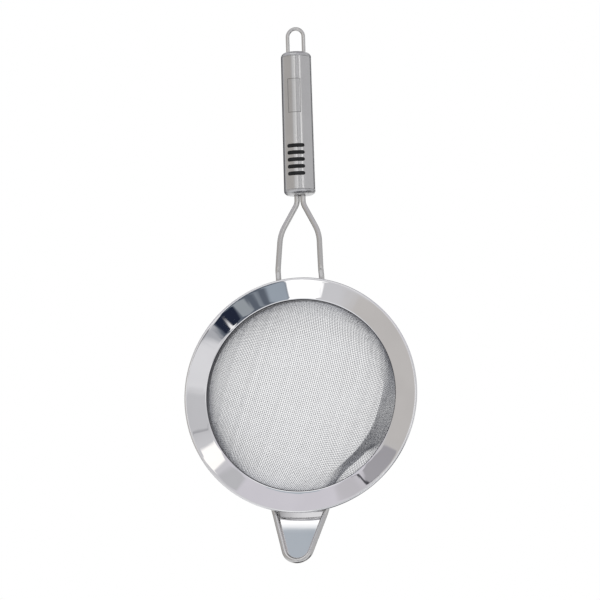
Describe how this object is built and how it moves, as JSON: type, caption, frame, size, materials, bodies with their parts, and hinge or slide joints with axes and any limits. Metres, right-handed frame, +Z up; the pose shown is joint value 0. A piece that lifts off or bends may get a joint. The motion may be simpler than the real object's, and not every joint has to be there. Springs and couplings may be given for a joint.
{
  "type": "tea strainer",
  "caption": "Fine-mesh strainer: wide polished rim, woven wire bowl, brushed tube handle on bent wires with black grip bars, a hanging loop and a plate-filled rest hook.",
  "frame": {"origin": "highest point inside the hanging loop, where a peg bears", "axes": "+Z up the handle from the bowl to the loop, -Y the way the bowl opens, +X to the right seen from the front"},
  "size_m": [0.12, 0.0598, 0.2762],
  "materials": {
    "polished_steel": "mirror polished stainless steel",
    "woven_wire_cloth": "bright woven stainless wire",
    "drawn_wire": "drawn stainless wire, lightly polished",
    "brushed_handle": "satin, brushed lengthwise",
    "black_rubber": "matt black"
  },
  "bodies": {
    "root": {"rim_flange": "polished_steel", "mesh_bowl": "woven_wire_cloth", "mesh_clamp_band": "polished_steel", "handle_wire_left": "drawn_wire", "handle_wire_right": "drawn_wire", "handle_tube": "brushed_handle", "lower_end_cap": "brushed_handle", "upper_end_cap": "brushed_handle", "grip_bar_1": "black_rubber", "grip_bar_2": "black_rubber", "grip_bar_3": "black_rubber", "grip_bar_4": "black_rubber", "grip_bar_5": "black_rubber", "hang_loop": "drawn_wire", "rest_hook_wire": "drawn_wire", "rest_plate": "polished_steel"}
  },
  "joints": []
}
